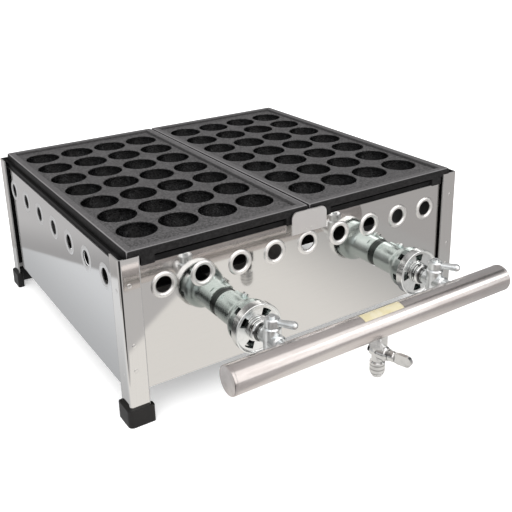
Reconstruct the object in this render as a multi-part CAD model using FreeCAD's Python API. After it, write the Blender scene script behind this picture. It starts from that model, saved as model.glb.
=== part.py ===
import FreeCAD, Part
import math
import os

# Twin-plate gas takoyaki cooker: two cast-iron plates of 28 cups over a stainless
# hearth on four angle legs, with two gas burners fed from a front manifold pipe.
# Millimetres, +Z up.  X runs along the front, Y runs front (-) to back (+).
# The functions below put y = 0 in the middle of the four legs; save() moves every
# piece back so that the origin lies on the counter under the middle of the whole cooker.

V = FreeCAD.Vector

# ---------------------------------------------------------------- driving dimensions
field_z = 174.0           # cooking face of the plates above the counter
leg_below = 2.7           # leg tops below the cooking face

cup_cols = 4
cup_rows = 7
cup_d = 40.0              # mouth of a cup
cup_land_x = 4.3          # flat between two cups, left to right
cup_land_y = 6.8
cup_depth = 19.0
cup_wall = 3.0
cup_lip_r = 0.7           # rounded mouth of a cup
cup_side_margin = 13.15   # from a cup's mouth to the edge of its plate
cup_front_margin = 30.1
cup_back_margin = 21.7

seam_gap = 0.75           # between the two plates at their foot
plate_t = 5.5             # casting below the cooking face
plate_side_gap = 3.525    # between a plate and the side sheet
plate_end_gap = 0.3       # between a plate and the legs in front of it
rim_rise = 2.5            # rim above the cooking face
rim_w = 8.2
rim_slope = 2.0           # run of the rim's inner slope
plate_draft = 0.4
plate_corner_r = 3.0
plate_edge_r = 1.2        # rounded outer edge of the rim
lug_w = 13.5
lug_h = 8.2               # lugs under the plate stand on the end sheets
lug_margin = 20.6         # from the middle of a lug to the edge of its plate

leg_flange = 20.3
leg_t = 1.5
leg_bend_r = 3.0
post_t = 2.5
post_flange = 13.0
sheet_t = 1.2
sheet_fold = 10.0
front_bottom = 33.2
side_step = 2.6           # side sheets reach this much higher than the end sheets
side_bottom = 30.2

boot_h = 18.3
boot_wall = 3.2
boot_arm = 27.0
boot_floor = 3.0
boot_r = 5.0
boot_end_r = 2.4
boot_edge_r = 1.2

vent_d = 16.4
vent_collar_d = 26.7
vent_rise = 1.6
side_vent_rise = 0.7
front_vents = 9
front_vent_margin = 40.3  # from the edge of the sheet to the first vent
front_vent_down = 25.4    # vents below the top edge of the sheet
side_vents = 7
side_vent_margin = 38.15
side_vent_down = 25.1

rail_t = 2.5
rail_drop = 21.0
side_rail_flange = 13.5
end_rail_flange = 12.0
bar_w = 22.0
bar_t = 3.0
tab_w = 43.0
tab_h = 23.8
tab_t = 1.5
tab_r = 7.0
tab_gap = 0.1
tab_below = 0.5           # top of the tab below the cooking face
tab_shift = -1.9          # tab from the middle of the body

burner_below = 78.2       # burner axes below the cooking face
neck_r = 15.0
neck_out = 4.6            # neck in front of the front panel
neck_in = 12.9            # straight neck behind the front sheet
neck_gap = 0.4
burner_wall = 3.0
throat_r = 10.5
arm_r = 9.0
arm_margin = 27.6         # from the end of a cross arm to the edge of the plate
arm_count = 6
arms_front = 85.9         # first cross arm behind the front sheet
port_d = 3.0
port_pairs = 4
burner_behind = 30.9      # from the end of a burner to the back sheet
support_behind = 66.9     # from a cross support to the nearest end sheet
support_w = 25.0
support_t = 3.0
support_gap = 1.5
pad_w = 24.0

bell_r = 22.4
flare_rise = 7.0          # the tube is this much smaller in radius than its bell
mixer_len = 52.3
bell_len = 13.1
flare_len = 16.0
mixer_wall = 3.0
mixer_face_t = 2.0
mixer_edge_r = 0.8
window_margin = 2.2       # from the rim of the bell to the air windows
window_h = 7.4
window_half_deg = 15.0
window_left_deg = 57.0
window_right_deg = 89.0
window_count = 4
side_window_count = 6
side_window_w = 7.0
side_window_l = 8.0
side_window_deg = 10.0
side_window_back = 2.2
sight_deg = 124.0         # shallow mark near the end of a mixing tube
sight_out = 5.0
sight_l = 3.0
sight_w = 6.0
sight_deep = 0.6
screw_deg = 48.0          # set screw and its boss on a mixing tube
screw_out = 14.0          # set screw in front of the end of the neck
screw_r = 2.0
screw_head_r = 3.4
screw_head_h = 2.2
screw_gap = 0.05
boss_r = 4.8
boss_rise = 2.2
rib_r = 4.0
rib_rise = 1.6
rib_from = 1.5

damper_slack = 0.9        # skirt of the disc outside the bell
damper_t = 1.5
damper_lip = 1.8
damper_skirt = 5.0
damper_gap = 0.3
nozzle_r = 6.2
orifice_len = 14.0        # thin tip of the nozzle behind its lock ring's thread
orifice_r = 0.9
nut_r = 11.0
nut_len = 7.6
ridge_pitch = 1.9
ridge_deep = 0.7

pipe_d = 27.2
pipe_wall = 2.0
pipe_ends = 63.3          # pipe outside the two burner axes
pipe_shift = -3.3         # middle of the pipe from the middle of the body
pipe_out = 33.3           # pipe axis in front of the plug axes
cap_t = 2.5

cock_r = 8.0
cock_end_r = 6.5
cock_plug_out = 23.3      # plug axis in front of the air disc
cock_housing_r = 8.5
cock_housing_up = 13.6
cock_housing_down = 11.0
plug_r = 5.0
plug_gap = 0.05
lever_hub_r = 7.2
lever_hub_h = 8.0
lever_len = 21.0
lever_r = 3.0
lever_tip_r = 3.9
lever_deg = -57.0

inlet_shift = -1.2        # inlet from the middle of the pipe
inlet_nut_af = 16.0
inlet_nut_below = 22.9    # heights of the inlet, below the burner axes
inlet_axis_below = 28.9
coupler_top_below = 38.5
coupler_end_below = 54.5
nut_gap = 0.3
inlet_body_r = 5.7
inlet_deg = -72.0         # direction of the inlet plug, from +X
barrel_r = 7.0
barrel_len = 12.0
key_shaft_r = 2.6
key_tail = 6.4            # shaft behind the inlet's axis
key_hub_r = 5.0
key_hub_len = 6.0
key_len = 17.3
key_w = 10.5
key_t = 4.0
coupler_r = 7.3

# ---------------------------------------------------------------- derived planes
cup_pitch_x = cup_d + cup_land_x
cup_pitch_y = cup_d + cup_land_y
cup_row_shift = (cup_front_margin - cup_back_margin) / 2
plate_w = (cup_cols - 1) * cup_pitch_x + cup_d + 2 * cup_side_margin
plate_len = (cup_rows - 1) * cup_pitch_y + cup_d + cup_front_margin + cup_back_margin
plate_mid_x = (plate_w + seam_gap) / 2
plate_foot = field_z - plate_t
rim_z = field_z + rim_rise
lug_reach = plate_w / 2 - lug_margin
recess = leg_t + post_t
inner_x = plate_mid_x + plate_w / 2 + plate_side_gap
panel_x = inner_x + sheet_t
leg_x = panel_x + recess
leg_y = plate_len / 2 + plate_end_gap + leg_t
panel_y = leg_y - recess
inner_y = panel_y - sheet_t
leg_top = field_z - leg_below
front_top = plate_foot - lug_h
side_top = front_top + side_step
front_vent_z = front_top - front_vent_down
side_vent_z = side_top - side_vent_down
front_vent_pitch = 2 * (panel_x - front_vent_margin) / (front_vents - 1)
side_vent_pitch = 2 * (panel_y - side_vent_margin) / (side_vents - 1)
burner_z = field_z - burner_below
burner_xs = {"left": -plate_mid_x, "right": plate_mid_x}
window_degs = {"left": window_left_deg, "right": window_right_deg}
burner_back = inner_y - burner_behind
arm_reach = plate_w / 2 - arm_margin
arm_pitch = (burner_back - arm_r + inner_y - arms_front) / (arm_count - 1)
support_y = inner_y - support_behind
neck_y = -panel_y - neck_out
mixer_r = bell_r - flare_rise
mixer_straight = mixer_len - bell_len - flare_len
damper_r = bell_r + damper_slack + damper_t
window_out_r = bell_r - window_margin
window_in_r = window_out_r - window_h
mixer_face_y = neck_y - mixer_len
damper_y = mixer_face_y - damper_gap
damper_face_y = damper_y - damper_t
nut_y = damper_face_y - damper_gap
nut_end_y = nut_y - nut_len
plug_y = damper_face_y - cock_plug_out
pipe_y = plug_y - pipe_out
pipe_r = pipe_d / 2
pipe_len = 2 * (plate_mid_x + pipe_ends)
inlet_x = pipe_shift + inlet_shift
inlet_rad = math.radians(inlet_deg)
inlet_nut_bottom = burner_z - inlet_nut_below
inlet_axis_z = burner_z - inlet_axis_below
coupler_top = burner_z - coupler_top_below
coupler_bottom = burner_z - coupler_end_below
key_out = barrel_len + damper_gap
key_reach = key_out + key_hub_len + key_len
front_y = pipe_y + key_reach * math.sin(inlet_rad) - key_t / 2 * math.cos(inlet_rad)
origin_y = -(front_y + leg_y + boot_wall) / 2


# ---------------------------------------------------------------- helpers
def block(x0, x1, y0, y1, z0, z1):
    return Part.makeBox(x1 - x0, y1 - y0, z1 - z0, V(x0, y0, z0))


def rod(start, direction, length, r, r_end=None):
    if r_end is None:
        return Part.makeCylinder(r, length, start, direction)
    return Part.makeCone(r, r_end, length, start, direction)


def spun(profile, centre, axis, side):
    # profile: (distance along the axis, radius) pairs round a closed outline; a pair with
    # a third value lies in the middle of an arc between its two neighbours
    pts = [centre + axis * p[0] + side * p[1] for p in profile]
    count = len(profile)
    edges = []
    for k in range(count):
        if len(profile[k]) > 2:
            continue
        after = (k + 1) % count
        if len(profile[after]) > 2:
            edges.append(Part.Arc(pts[k], pts[after], pts[(k + 2) % count]).toShape())
        else:
            edges.append(Part.LineSegment(pts[k], pts[after]).toShape())
    return Part.Face(Part.Wire(edges)).revolve(centre, axis, 360)


def swept(a0, r0, a1, r1):
    # the points between (a0, r0) and (a1, r1) of an S made of two equal arcs
    run = (a1 - a0) / 2
    rise = (r1 - r0) / 2
    big = (run ** 2 + rise ** 2) / (2 * abs(rise))
    half = math.asin(abs(run) / big) / 2
    da = math.copysign(big * math.sin(half), run)
    dr = math.copysign(big * (1 - math.cos(half)), rise)
    return [(a0 + da, r0 + dr, 1), (a0 + run, r0 + rise), (a1 - da, r1 - dr, 1)]


def rounded(shape, r, pick):
    edges = [e for e in shape.Edges if pick(e)]
    return shape.makeFillet(r, edges)


def is_upright(edge):
    a, b = edge.Vertexes[0].Point, edge.Vertexes[-1].Point
    return abs(a.x - b.x) + abs(a.y - b.y) < 0.001 and abs(a.z - b.z) > 0.5


def rounded_wire(x0, x1, y0, y1, r, z):
    cs = [(x1 - r, y0 + r, -90), (x1 - r, y1 - r, 0), (x0 + r, y1 - r, 90), (x0 + r, y0 + r, 180)]
    edges = []
    ends = []
    for cx, cy, a0 in cs:
        p = []
        for k in (0, 45, 90):
            a = math.radians(a0 + k)
            p.append(V(cx + r * math.cos(a), cy + r * math.sin(a), z))
        edges.append(Part.Arc(p[0], p[1], p[2]).toShape())
        ends.append((p[0], p[2]))
    wire = []
    for k in range(4):
        wire.append(edges[k])
        wire.append(Part.LineSegment(ends[k][1], ends[(k + 1) % 4][0]).toShape())
    return Part.Wire(wire)


def frustum(x0, x1, y0, y1, r, z0, z1, inset):
    low = rounded_wire(x0, x1, y0, y1, r, z0)
    high = rounded_wire(x0 + inset, x1 - inset, y0 + inset, y1 - inset, r, z1)
    return Part.makeLoft([low, high], True, True)


def flat_sheet(points, direction):
    return Part.Face(Part.makePolygon(points + [points[0]])).extrude(direction)


def mirrored(shape, flip_x, flip_y):
    if flip_x:
        shape = shape.mirror(V(0, 0, 0), V(1, 0, 0))
    if flip_y:
        shape = shape.mirror(V(0, 0, 0), V(0, 1, 0))
    return shape


def sector(axis_x, y0, y1, r0, r1, mid_deg, half_deg):
    # slice of a ring round a burner axis, between two planes across Y
    pts = []
    for r, a in ((r0, -1), (r0, 0), (r0, 1), (r1, 1), (r1, 0), (r1, -1)):
        t = math.radians(mid_deg + a * half_deg)
        pts.append(V(axis_x + r * math.cos(t), y0, burner_z + r * math.sin(t)))
    inner = Part.Arc(pts[0], pts[1], pts[2]).toShape()
    outer = Part.Arc(pts[3], pts[4], pts[5]).toShape()
    side_a = Part.LineSegment(pts[2], pts[3]).toShape()
    side_b = Part.LineSegment(pts[5], pts[0]).toShape()
    return Part.Face(Part.Wire([inner, side_a, outer, side_b])).extrude(V(0, y1 - y0, 0))


def save(name, shape):
    shape = shape.removeSplitter()
    shape.translate(V(0, origin_y, 0))
    solids = shape.Solids
    out = solids[0] if len(solids) == 1 else Part.makeCompound(solids)
    if not out.isValid():
        print("not valid:", name)
    out.exportStep("parts/%s.step" % name)
    print("%-18s solids %d volume %.0f" % (name, len(solids), out.Volume))


# ---------------------------------------------------------------- plates
def cup_centres(mid_x):
    out = []
    for i in range(cup_cols):
        for j in range(cup_rows):
            x = mid_x + (i - (cup_cols - 1) / 2) * cup_pitch_x
            y = cup_row_shift + (j - (cup_rows - 1) / 2) * cup_pitch_y
            out.append((x, y))
    return out


def is_cup_mouth(edge):
    flat = edge.BoundBox.ZLength < 0.001 and abs(edge.BoundBox.ZMin - field_z) < 0.001
    return flat and isinstance(edge.Curve, Part.Circle) and abs(edge.Curve.Radius - cup_d / 2) < 0.01


def plate(mid_x):
    x0 = mid_x - plate_w / 2
    x1 = mid_x + plate_w / 2
    y1 = plate_len / 2
    slab = frustum(x0, x1, -y1, y1, plate_corner_r, plate_foot, rim_z, plate_draft)
    slab = rounded(slab, plate_edge_r, lambda e: e.BoundBox.ZMin > rim_z - 0.01)
    edge = plate_draft + rim_w
    well_low = rounded_wire(x0 + edge + rim_slope, x1 - edge - rim_slope,
                            -y1 + edge + rim_slope, y1 - edge - rim_slope, plate_corner_r, field_z)
    well_high = rounded_wire(x0 + edge, x1 - edge, -y1 + edge, y1 - edge, plate_corner_r, rim_z)
    slab = slab.cut(Part.makeLoft([well_low, well_high], True, True))
    mouth_r = cup_d / 2
    cup_r = (mouth_r ** 2 + cup_depth ** 2) / (2 * cup_depth)
    centre_z = field_z - cup_depth + cup_r
    under = block(x0, x1, -y1, y1, field_z - cup_depth - 2 * cup_wall, plate_foot + 0.5)
    bulges = []
    pockets = []
    for x, y in cup_centres(mid_x):
        centre = V(x, y, centre_z)
        bulges.append(Part.makeSphere(cup_r + cup_wall, centre).common(under))
        pockets.append(Part.makeSphere(cup_r, centre))
    lugs = []
    for sx in (-1, 1):
        for sy in (-1, 1):
            lx = mid_x + sx * lug_reach
            ly = sorted((sy * y1, sy * inner_y))
            lugs.append(block(lx - lug_w / 2, lx + lug_w / 2, ly[0], ly[1], front_top, plate_foot + 1))
    shape = slab.multiFuse(bulges + lugs)
    shape = shape.cut(Part.makeCompound(pockets))
    return rounded(shape, cup_lip_r, is_cup_mouth)


# ---------------------------------------------------------------- hearth
def leg():
    # front left leg; the others are its mirror images
    x0 = -leg_x
    y0 = -leg_y
    x1 = x0 + leg_flange
    y1 = y0 + leg_flange
    r = leg_bend_r
    ri = leg_bend_r - leg_t
    c = math.sqrt(0.5)
    o = (x0 + r, y0 + r)
    outer = Part.Arc(V(x0, o[1], 0), V(o[0] - r * c, o[1] - r * c, 0), V(o[0], y0, 0)).toShape()
    inner = Part.Arc(V(o[0], y0 + leg_t, 0), V(o[0] - ri * c, o[1] - ri * c, 0), V(x0 + leg_t, o[1], 0)).toShape()
    lines = [(V(o[0], y0, 0), V(x1, y0, 0)), (V(x1, y0, 0), V(x1, y0 + leg_t, 0)),
             (V(x1, y0 + leg_t, 0), V(o[0], y0 + leg_t, 0))]
    more = [(V(x0 + leg_t, o[1], 0), V(x0 + leg_t, y1, 0)), (V(x0 + leg_t, y1, 0), V(x0, y1, 0)),
            (V(x0, y1, 0), V(x0, o[1], 0))]
    edges = [outer] + [Part.LineSegment(a, b).toShape() for a, b in lines]
    edges += [inner] + [Part.LineSegment(a, b).toShape() for a, b in more]
    shape = Part.Face(Part.Wire(edges)).extrude(V(0, 0, leg_top - boot_floor))
    shape.translate(V(0, 0, boot_floor))
    return shape


def boot(leg_shape):
    x0 = -leg_x - boot_wall
    y0 = -leg_y - boot_wall
    deep = 2 * boot_wall + leg_t
    r = boot_r
    c = math.sqrt(0.5)
    pts = [V(x0 + r, y0, 0), V(x0 + boot_arm, y0, 0), V(x0 + boot_arm, y0 + deep, 0),
           V(x0 + deep, y0 + deep, 0), V(x0 + deep, y0 + boot_arm, 0), V(x0, y0 + boot_arm, 0), V(x0, y0 + r, 0)]
    edges = [Part.LineSegment(pts[k], pts[k + 1]).toShape() for k in range(len(pts) - 1)]
    edges.append(Part.Arc(pts[-1], V(x0 + r - r * c, y0 + r - r * c, 0), pts[0]).toShape())
    solid = Part.Face(Part.Wire(edges)).extrude(V(0, 0, boot_h))
    far = boot_arm - 0.01
    solid = rounded(solid, boot_end_r, lambda e: is_upright(e) and max(e.BoundBox.XMin - x0, e.BoundBox.YMin - y0) > far)
    solid = rounded(solid, boot_edge_r, lambda e: e.BoundBox.ZMin > boot_h - 0.01)
    return solid.cut(leg_shape)


def post():
    x0 = -leg_x + leg_t
    y0 = -leg_y + leg_t
    pts = [(x0, y0), (x0 + post_flange, y0), (x0 + post_flange, y0 + post_t),
           (x0 + post_t, y0 + post_t), (x0 + post_t, y0 + post_flange), (x0, y0 + post_flange)]
    shape = flat_sheet([V(x, y, side_bottom) for x, y in pts], V(0, 0, plate_foot - side_bottom))
    # the leg's bend is rounder than the post's corner
    keep = rounded_wire(x0, x0 + 3 * post_flange, y0, y0 + 3 * post_flange, leg_bend_r, side_bottom)
    return shape.common(Part.Face(keep).extrude(V(0, 0, leg_top)))


def vent_collar(x, z):
    # pierced hole with a raised rim, on a sheet that faces -Y
    r_hole = vent_d / 2
    r_rim = vent_collar_d / 2
    mid = (r_hole + r_rim) / 2
    profile = [(0, r_hole), (0, r_rim), (vent_rise * 0.8, (mid + r_rim) / 2, 1), (vent_rise, mid),
               (vent_rise * 0.8, (mid + r_hole) / 2, 1)]
    return spun(profile, V(x, -panel_y, z), V(0, -1, 0), V(1, 0, 0))


def end_panel(burner_holes):
    sheet = block(-panel_x, panel_x, -panel_y, -inner_y, front_bottom, front_top)
    fold = block(-inner_x, inner_x, -inner_y, -inner_y + sheet_fold, front_bottom, front_bottom + sheet_t)
    collars = []
    holes = []
    for k in range(front_vents):
        x = (k - (front_vents - 1) / 2) * front_vent_pitch
        collars.append(vent_collar(x, front_vent_z))
        holes.append(rod(V(x, -panel_y - 1, front_vent_z), V(0, 1, 0), sheet_t + 2, vent_d / 2))
    if burner_holes:
        for x in burner_xs.values():
            holes.append(rod(V(x, -panel_y - 1, burner_z), V(0, 1, 0), sheet_t + 2, neck_r + neck_gap))
    return sheet.multiFuse([fold] + collars).cut(Part.makeCompound(holes))


def side_panel():
    # left side sheet, seen from outside it faces -X
    sheet = block(-panel_x, -inner_x, -inner_y, inner_y, side_bottom, side_top)
    fold = block(-inner_x, -inner_x + sheet_fold, -inner_y + sheet_fold, inner_y - sheet_fold,
                 side_bottom, side_bottom + sheet_t)
    r_hole = vent_d / 2
    r_rim = vent_collar_d / 2
    mid = (r_hole + r_rim) / 2
    profile = [(0, r_hole), (0, r_rim), (side_vent_rise * 0.8, (mid + r_rim) / 2, 1), (side_vent_rise, mid),
               (side_vent_rise * 0.8, (mid + r_hole) / 2, 1)]
    collars = []
    holes = []
    for k in range(side_vents):
        y = cup_row_shift + (k - (side_vents - 1) / 2) * side_vent_pitch
        collars.append(spun(profile, V(-panel_x, y, side_vent_z), V(-1, 0, 0), V(0, 1, 0)))
        holes.append(rod(V(-panel_x - 1, y, side_vent_z), V(1, 0, 0), sheet_t + 2, r_hole))
    return sheet.multiFuse([fold] + collars).cut(Part.makeCompound(holes))


def side_rail():
    # black angle along the left side; the plate's edge rests on it
    upright = block(-inner_x, -inner_x + rail_t, -inner_y, inner_y, plate_foot - rail_drop, plate_foot)
    ledge = block(-inner_x, -inner_x + side_rail_flange, -inner_y, inner_y, plate_foot - rail_t, plate_foot)
    return upright.fuse(ledge)


def end_rail():
    # black angle along the front, one bar thickness lower, under the centre bar
    x1 = inner_x - rail_t
    top = plate_foot - bar_t
    upright = block(-x1, x1, -inner_y, -inner_y + rail_t, top - rail_drop, top)
    ledge = block(-x1, x1, -inner_y, -inner_y + end_rail_flange, top - rail_t, top)
    return upright.fuse(ledge)


def centre_bar():
    front = -leg_y - tab_gap
    return block(-bar_w / 2, bar_w / 2, front, inner_y, plate_foot - bar_t, plate_foot)


def centre_tab():
    y0 = -leg_y - tab_gap - tab_t
    z1 = field_z - tab_below
    z0 = z1 - tab_h
    x = tab_w / 2
    r = tab_r
    c = math.sqrt(0.5)
    pts = [V(-x, y0, z0), V(x, y0, z0), V(x, y0, z1 - r), V(x - r, y0, z1), V(-x + r, y0, z1), V(-x, y0, z1 - r)]
    right = Part.Arc(pts[2], V(x - r + r * c, y0, z1 - r + r * c), pts[3]).toShape()
    left = Part.Arc(pts[4], V(-x + r - r * c, y0, z1 - r + r * c), pts[5]).toShape()
    lines = [Part.LineSegment(pts[a], pts[b]).toShape() for a, b in ((0, 1), (1, 2), (3, 4), (5, 0))]
    wire = Part.Wire([lines[0], lines[1], right, lines[2], left, lines[3]])
    shape = Part.Face(wire).extrude(V(0, tab_t, 0))
    shape.translate(V(tab_shift, 0, 0))
    return shape


def support_bar(y):
    z1 = burner_z - neck_r - support_gap
    return block(-inner_x, inner_x, y - support_w / 2, y + support_w / 2, z1 - support_t, z1)


# ---------------------------------------------------------------- gas train
def burner(x):
    axis = V(0, 1, 0)
    side = V(1, 0, 0)
    centre = V(x, 0, burner_z)
    w = burner_wall
    y_in = -inner_y + neck_in
    y_thr = y_in + 1.3 * neck_r
    y_dif = y_thr + 2 * throat_r
    y_main = y_dif + 2 * neck_r
    outline = [(neck_y, 0), (neck_y, neck_r), (y_in, neck_r), (y_thr, throat_r), (y_dif, throat_r),
               (y_main, neck_r), (burner_back, neck_r), (burner_back + w, neck_r - w), (burner_back + w, 0)]
    bore = [(neck_y - 1, 0), (neck_y - 1, neck_r - w), (y_in, neck_r - w), (y_thr, throat_r - w),
            (y_dif, throat_r - w), (y_main, neck_r - w), (burner_back - w, neck_r - w), (burner_back - w, 0)]
    arms = []
    arm_bores = []
    ports = []
    for k in range(arm_count):
        y = burner_back - arm_r - (arm_count - 1 - k) * arm_pitch
        arms.append(rod(V(x - arm_reach, y, burner_z), side, 2 * arm_reach, arm_r))
        arm_bores.append(rod(V(x - arm_reach + w, y, burner_z), side, 2 * arm_reach - 2 * w, arm_r - w))
        for n in range(-port_pairs, port_pairs + 1):
            if n:
                start = V(x + n * (arm_reach - 2 * w) / port_pairs, y, burner_z + arm_r - 1.5 * w)
                ports.append(rod(start, V(0, 0, 1), 3 * w, port_d / 2))
    pads = []
    for y in (-support_y, support_y):
        pads.append(block(x - pad_w / 2, x + pad_w / 2, y - support_w / 2, y + support_w / 2,
                          burner_z - neck_r - support_gap, burner_z - throat_r + w))
    shape = spun(outline, centre, axis, side).multiFuse(arms + pads)
    hollow = spun(bore, centre, axis, side).multiFuse(arm_bores)
    return shape.cut(hollow).cut(Part.makeCompound(ports))


def mixer_out(deg):
    return V(math.cos(math.radians(deg)), 0, math.sin(math.radians(deg)))


def mixer(x, window_deg):
    # zinc-cast mixing tube: straight tube, flare, bell with side windows and a windowed face
    axis = V(0, -1, 0)
    side = V(1, 0, 0)
    centre = V(x, neck_y, burner_z)
    w = mixer_wall
    e = mixer_edge_r
    m = e * (1 - math.sqrt(0.5))
    bell_at = mixer_straight + flare_len
    outside = [(0, 0), (0, mixer_r - e), (m, mixer_r - m, 1), (e, mixer_r), (mixer_straight, mixer_r)]
    outside += swept(mixer_straight, mixer_r, bell_at, bell_r)
    outside += [(bell_at, bell_r), (mixer_len - e, bell_r), (mixer_len - m, bell_r - m, 1),
                (mixer_len, bell_r - e), (mixer_len, 0)]
    inside = [(-w, 0), (-w, mixer_r - w), (mixer_straight, mixer_r - w)]
    inside += swept(mixer_straight, mixer_r - w, bell_at, bell_r - w)
    inside += [(bell_at, bell_r - w), (mixer_len - mixer_face_t, bell_r - w), (mixer_len - mixer_face_t, 0)]
    out = mixer_out(screw_deg)
    boss = rod(centre + axis * screw_out, out, mixer_r + boss_rise, boss_r)
    rib_at = centre + axis * rib_from + out * (mixer_r + rib_rise - rib_r)
    rib = rod(rib_at, axis, screw_out - rib_from, rib_r)
    shape = spun(outside, centre, axis, side).multiFuse([boss, rib])
    shape = shape.cut(spun(inside, centre, axis, side))
    cuts = [rod(centre + axis * screw_out, out, 2 * mixer_r, screw_r + screw_gap)]
    cuts.append(rod(centre, axis, 2 * mixer_len, nozzle_r + plug_gap))
    y_face = mixer_face_y
    for k in range(window_count):
        deg = window_deg + k * 360 / window_count
        cuts.append(sector(x, y_face - w, y_face + mixer_face_t + w, window_in_r, window_out_r, deg, window_half_deg))
    y_side = y_face + mixer_face_t + side_window_back + side_window_l / 2
    for k in range(side_window_count):
        deg = side_window_deg + k * 360 / side_window_count
        cuts.append(slot_block(x, y_side, bell_r - 2 * w, bell_r + w, side_window_l, side_window_w, deg))
    cuts.append(slot_block(x, neck_y - sight_out, mixer_r - sight_deep, mixer_r + w, sight_l, sight_w, sight_deg))
    return shape.cut(Part.makeCompound(cuts))


def slot_block(x, y, r0, r1, length, width, deg):
    # block across the wall of a mixing tube, at an angle round its axis
    shape = block(r0, r1, -length / 2, length / 2, -width / 2, width / 2)
    shape.rotate(V(0, 0, 0), V(0, -1, 0), deg)
    shape.translate(V(x, y, burner_z))
    return shape


def set_screw(x):
    out = mixer_out(screw_deg)
    at = V(x, neck_y - screw_out, burner_z) + out * (mixer_r - mixer_wall)
    rise = mixer_wall + boss_rise
    shank = rod(at, out, rise, screw_r)
    head = rod(at + out * rise, out, screw_head_h, screw_head_r)
    slot = block(-2 * screw_r, 2 * screw_r, -screw_r / 4, screw_r / 4, -screw_head_h / 2, screw_head_h / 2)
    slot.rotate(V(0, 0, 0), V(0, 1, 0), 90 - screw_deg)
    slot.translate(at + out * (rise + screw_head_h))
    return shank.fuse(head).cut(slot)


def damper(x, window_deg):
    # shallow turned disc with a rolled rim; turning it closes the windows of the face behind
    axis = V(0, -1, 0)
    side = V(1, 0, 0)
    centre = V(x, damper_y, burner_z)
    rim_in = damper_r - damper_t
    lip = damper_t + damper_lip
    roll = damper_t * 0.3
    outline = [(0, nozzle_r + 0.08), (damper_t, nozzle_r + 0.08), (damper_t, rim_in - damper_t),
               (damper_t + roll, rim_in - roll, 1), (lip - damper_t / 2, rim_in), (lip, rim_in + damper_t / 2, 1),
               (lip - damper_t / 2, damper_r), (-damper_skirt, damper_r), (-damper_skirt, rim_in), (0, rim_in)]
    shape = spun(outline, centre, axis, side)
    cuts = []
    for k in range(window_count):
        deg = window_deg + k * 360 / window_count
        cuts.append(sector(x, damper_y - damper_t - 1, damper_y + 1, window_in_r, window_out_r, deg, window_half_deg))
    return shape.cut(Part.makeCompound(cuts))


def nozzle(x):
    # threaded brass nozzle with its knurled lock ring, from the bell to the cock
    axis = V(0, -1, 0)
    side = V(1, 0, 0)
    centre = V(x, nut_y, burner_z)
    tip = -(damper_t + 2 * damper_gap + mixer_face_t + orifice_len)
    back = tip + orifice_len * 0.6
    outline = [(tip, 0), (tip, nozzle_r * 0.35), (back, nozzle_r * 0.6), (back, nozzle_r), (0, nozzle_r),
               (0, nut_r - 0.6)]
    for k in range(3):
        a = 0.4 + k * ridge_pitch
        outline += [(a, nut_r), (a + ridge_pitch - 0.8, nut_r), (a + ridge_pitch - 0.5, nut_r - ridge_deep),
                    (a + ridge_pitch - 0.2, nut_r - ridge_deep)]
    end = 0.4 + 3 * ridge_pitch
    outline += [(end, nut_r - 0.6), (nut_len - 0.5, nut_r - 1.4), (nut_len, nut_r - 2.0), (nut_len, 7.4),
                (nut_len + 2, 7.4), (nut_len + 2, nozzle_r), (nut_len + 3, nozzle_r), (nut_len + 3, 0)]
    shape = spun(outline, centre, axis, side)
    return shape.cut(rod(centre + axis * (tip - 1), axis, orifice_len, orifice_r))


def cock(x):
    axis = V(0, -1, 0)
    side = V(1, 0, 0)
    start = nut_end_y - 3
    centre = V(x, start, burner_z)
    reach = start - (pipe_y + pipe_r)
    into = reach + pipe_wall - 0.3
    outline = [(0, 0), (0, cock_end_r), (1.2, cock_r), (reach - 8, cock_r), (reach - 6.5, cock_end_r),
               (into, cock_end_r), (into, 0)]
    shape = spun(outline, centre, axis, side)
    low = burner_z - cock_housing_down
    high = burner_z + cock_housing_up
    housing = spun([(low, 0), (low, 6.8), (low + 2, cock_housing_r), (high - 1.5, cock_housing_r), (high, 7.4),
                    (high, 0)], V(x, plug_y, 0), V(0, 0, 1), V(1, 0, 0))
    hole = rod(V(x, plug_y, low - 1), V(0, 0, 1), high - low + 2, plug_r + plug_gap)
    return shape.fuse(housing).cut(hole)


def cock_lever(x):
    high = burner_z + cock_housing_up + damper_gap
    low = burner_z - cock_housing_down - damper_gap
    up = V(0, 0, 1)
    at = V(x, plug_y, 0)
    top = high + lever_hub_h
    outline = [(low - 2.5, 0), (low - 2.5, 5.6), (low - 0.4, 6.2), (low, 6.2), (low, plug_r), (high, plug_r),
               (high, lever_hub_r), (top - 1.2, lever_hub_r), (top, lever_hub_r - 1.2), (top, 3.1),
               (top + 2.2, 3.1), (top + 2.2, 0)]
    shape = spun(outline, at, up, V(1, 0, 0))
    a = math.radians(lever_deg)
    d = V(math.cos(a), math.sin(a), 0)
    start = V(x, plug_y, high + lever_hub_h / 2) + d * 3
    arm = rod(start, d, lever_len - 3, lever_r, lever_tip_r)
    ball = Part.makeSphere(lever_tip_r, V(x, plug_y, high + lever_hub_h / 2) + d * lever_len)
    reach = 2 * lever_len
    cut_back = block(x - reach, x + reach, plug_y - reach, plug_y + reach, top - 0.4, top + lever_hub_h)
    arm = arm.fuse(ball).cut(cut_back)
    return shape.fuse(arm)


def manifold():
    x0 = pipe_shift - pipe_len / 2 + cap_t
    axis = V(1, 0, 0)
    length = pipe_len - 2 * cap_t
    tube = rod(V(x0, pipe_y, burner_z), axis, length, pipe_r)
    tube = tube.cut(rod(V(x0, pipe_y, burner_z), axis, length, pipe_r - pipe_wall))
    holes = [rod(V(x, pipe_y, burner_z), V(0, 1, 0), 2 * pipe_r, cock_end_r + plug_gap) for x in burner_xs.values()]
    holes.append(rod(V(inlet_x, pipe_y, burner_z), V(0, 0, -1), 2 * pipe_r, 5.0))
    return tube.cut(Part.makeCompound(holes))


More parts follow.
